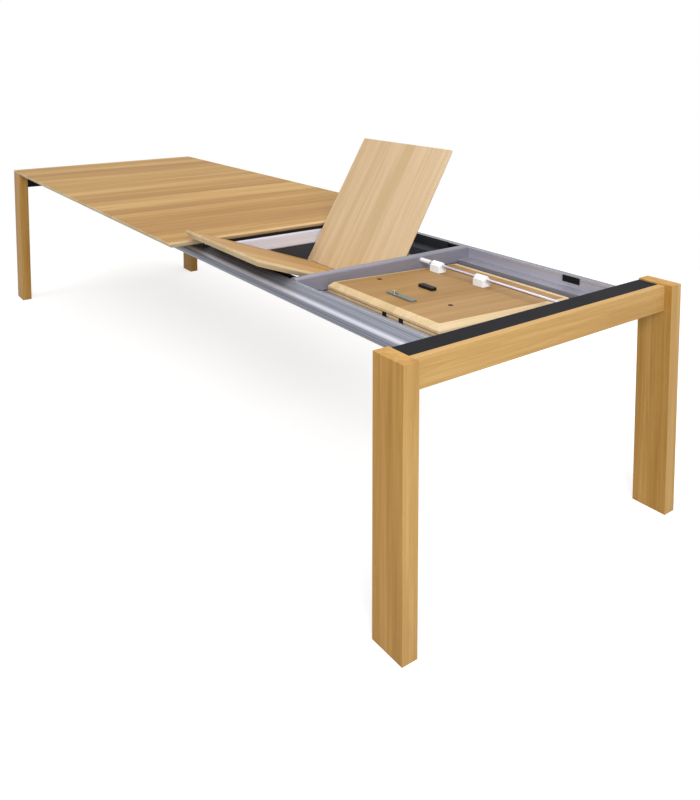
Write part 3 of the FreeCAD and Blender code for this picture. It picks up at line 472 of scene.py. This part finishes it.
# Each leaf's start along the table, the tilt in degrees of its two halves as it stands, and the halves.
LEAVES = (
    ("leaf_one", 0.483, 58.8, -20.03, (("right", LIT_FACE), ("left", SHADED_FACE))),
    ("leaf_two", 1.057, 177.5, -2.5, (("upper", LIT_FACE), ("lower", SHADED_FACE))),
)
for leaf, start, swing_angle, fold_angle, halves in LEAVES:
    swing = math.radians(swing_angle)
    rod = (start, ROD_Y, ROD_Z)
    spine = (
        start,
        ROD_Y - REACH * math.cos(swing) - SPINE_UP * math.sin(swing),
        ROD_Z - REACH * math.sin(swing) + SPINE_UP * math.cos(swing),
    )
    places = ((rod, swing, FACE_UP), (spine, math.radians(fold_angle), FACE_UP - SPINE_UP))
    for (half, tones), (origin, angle, top) in zip(halves, places):
        turn = (Matrix.Rotation(angle, 3, "X") @ Matrix.Rotation(math.pi / 2, 3, "Z")).to_euler()
        board = "%s_%s" % (leaf, half)
        panel = oak("oak_veneer_lacquered_" + board, LEAF_UNDER, turn, origin, plank=LEAF_PLANK,
                    face=tones, level=top - 2 * VENEER_DEPTH)
        rim = oak("oak_rim_solid_lacquered_" + board, RIM, turn, origin, plank=LEAF_PLANK,
                  face=tones, level=top - VENEER_DEPTH)
        finish(board + "_panel", panel)
        finish(board + "_lipping", rim)


# ------------------------------------------------------------------ screw holes' painted shade
# Two dark rings with a hollow middle in each swinging half's underside, let in flush over the screw
# holes: painted shade that stands for the dark inside of the holes.
UNDERSIDE, HOLE_ACROSS, HOLES_ALONG = 0.024, 0.241, (0.057, 0.393)
SHADE_DISC_RADIUS, SHADE_DISC_TAPER, SHADE_DISC_HIGH = 0.008, 0.0004, 0.0012
SHADE_DISC_RIM, SHADE_DISC_HOLLOW = SHADE_DISC_RADIUS / 3, SHADE_DISC_HIGH * 0.7
# Dark bronze tones, painted as the shade inside the screw holes.
hole_shade = drawn_metal("painted_shade_screw_holes", "4a3826", "2e2218", 0.5, (90.0, 90.0, 90.0))
for leaf, start, swing_angle, fold_angle, halves in LEAVES:
    swinging_half = "%s_%s_half" % (leaf, halves[0][0])
    about_rod = Matrix.Translation((start, ROD_Y, ROD_Z)) @ Matrix.Rotation(math.radians(swing_angle), 4, "X")
    for number, along in enumerate(HOLES_ALONG, start=1):
        form = bmesh.new()
        bmesh.ops.create_cone(form, cap_ends=True, segments=32, radius1=SHADE_DISC_RADIUS,
                              radius2=SHADE_DISC_RADIUS - SHADE_DISC_TAPER, depth=SHADE_DISC_HIGH)
        form.normal_update()
        top = [face for face in form.faces if face.normal.z > 0.9]
        bmesh.ops.inset_region(form, faces=top, thickness=SHADE_DISC_RIM)
        bmesh.ops.translate(form, vec=(0, 0, -SHADE_DISC_HOLLOW), verts=top[0].verts)
        seat = Matrix.Translation((along, HOLE_ACROSS, UNDERSIDE - SHADE_DISC_HIGH / 2))
        outward = seat @ Matrix.Rotation(math.pi, 4, "X")
        bmesh.ops.transform(form, matrix=about_rod @ outward, verts=form.verts)
        new_piece(form, "%s_screw_hole_shade_%d" % (leaf, number), hole_shade, swinging_half)


# ------------------------------------------------------------------ bearing blocks and bushes
# White acetal blocks fixed to each leaf's underside, with acetal bushes in them that run on the rod,
# and a sleeve that stops the second leaf: a slightly waxy moulded white with rounded corners.
def moulded(name, colour, dark, rough, sheen=0.5):
    """Moulded plastic with a faint cloud in its colour; its spark-eroded grit is drawn 1.1 mm coarse."""
    material, tree, output = new_tree(name)
    place = add(tree, "TexCoord").outputs["Object"]
    cloud = add(tree, "TexNoise", {"Vector": place, "Scale": 30.0, "Detail": 3.0}).outputs[0]
    grit = add(tree, "TexNoise", {"Vector": place, "Scale": 900.0, "Detail": 1.0}).outputs[0]
    tint = add(tree, "ValToRGB", {0: cloud}, stops=[(0.3, dark), (0.7, colour)]).outputs[0]
    gloss = add(tree, "MapRange", {0: grit, 1: 0.3, 2: 0.7, 3: rough - 0.04, 4: rough + 0.04}).outputs[0]
    relief = add(tree, "Bump", {"Height": grit, "Strength": 0.1, "Distance": 0.0002}).outputs[0]
    skin = {"Base Color": tint, "Roughness": gloss, "IOR": 1.48, "Specular IOR Level": sheen,
            "Normal": relief}
    shader = add(tree, "BsdfPrincipled", skin)
    tree.links.new(shader.outputs[0], output.inputs["Surface"])
    return material


def rounded(node, radius, segments):
    """Rounds the sharp edges of a carried-over piece."""
    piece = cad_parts[node]
    weld = piece.modifiers.new("joined_corners", "WELD")
    weld.merge_threshold = 0.00001
    bevel = piece.modifiers.new("moulded_corners", "BEVEL")
    bevel.width = radius
    bevel.segments = segments
    bevel.limit_method = "ANGLE"
    bevel.angle_limit = math.radians(40)


BLOCK_ROUNDING = 0.005
white_acetal = moulded("acetal_moulded_white", "f5f7fb", "ebedf2", 0.35)
for leaf in ("leaf_one", "leaf_two"):
    finish(leaf + "_bearing_blocks", white_acetal)
    rounded(leaf + "_bearing_blocks", BLOCK_ROUNDING, 4)
    finish(leaf + "_bushes", white_acetal)
finish("rod_stop_sleeve", white_acetal)


# ------------------------------------------------------------------ latches and clips
# Under each swinging half a pressed steel cover, painted grey, holds a flat bolt with a turned
# nickel-plated knob. Black nylon clips and catches hold the leaves when they are put away; the beams'
# end caps and the shoes that run in the tracks are of the same dull nylon.
CLIP_ROUNDING = 0.002
# A smooth greenish grey paint, a bright and slightly warm plating, and nylon with hardly any shine.
latch_paint = coated("steel_pressed_painted_grey", "6f756e", "60665f", 0.42)
knob_metal = drawn_metal("steel_turned_nickel_plated", "dedad2", "c9c5bd", 0.25, (60.0, 60.0, 60.0))
black_nylon = moulded("nylon_moulded_black", "0e0e10", "08080a", 0.55, 0.2)
for leaf in ("leaf_one", "leaf_two"):
    finish(leaf + "_latch_cover", latch_paint)
    finish(leaf + "_latch_bolt", knob_metal)
    finish(leaf + "_clip", black_nylon)
    rounded(leaf + "_clip", CLIP_ROUNDING, 3)
finish("leaf_two_edge_catches", black_nylon)
for node in ("beam_wall_clips", "beam_end_caps", "slide_shoes_left", "slide_shoes_right"):
    finish(node, black_nylon)


# ------------------------------------------------------------------ glide strip
# A long strip of black nylon on top of the far member, which the top glides on, in place of its pads.
# Its even dark line under the top's edge also stands as painted shade for the gap there.
STRIP_INSET = 0.008
STRIP_PRESSING = (0.003, 0.0005, 0.0005)
pad_low, pad_high = corners("glide_pads")
strip_low = (pad_low.x, STRIP_INSET - wall, pad_low.z)
strip_high = (pad_high.x, wall - STRIP_INSET, pad_high.z)
form = pressed(strip_low, strip_high, STRIP_PRESSING)
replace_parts(new_piece(form, "glide_strip_and_gap_shade", black_nylon, "near_frame"), "glide_pads")
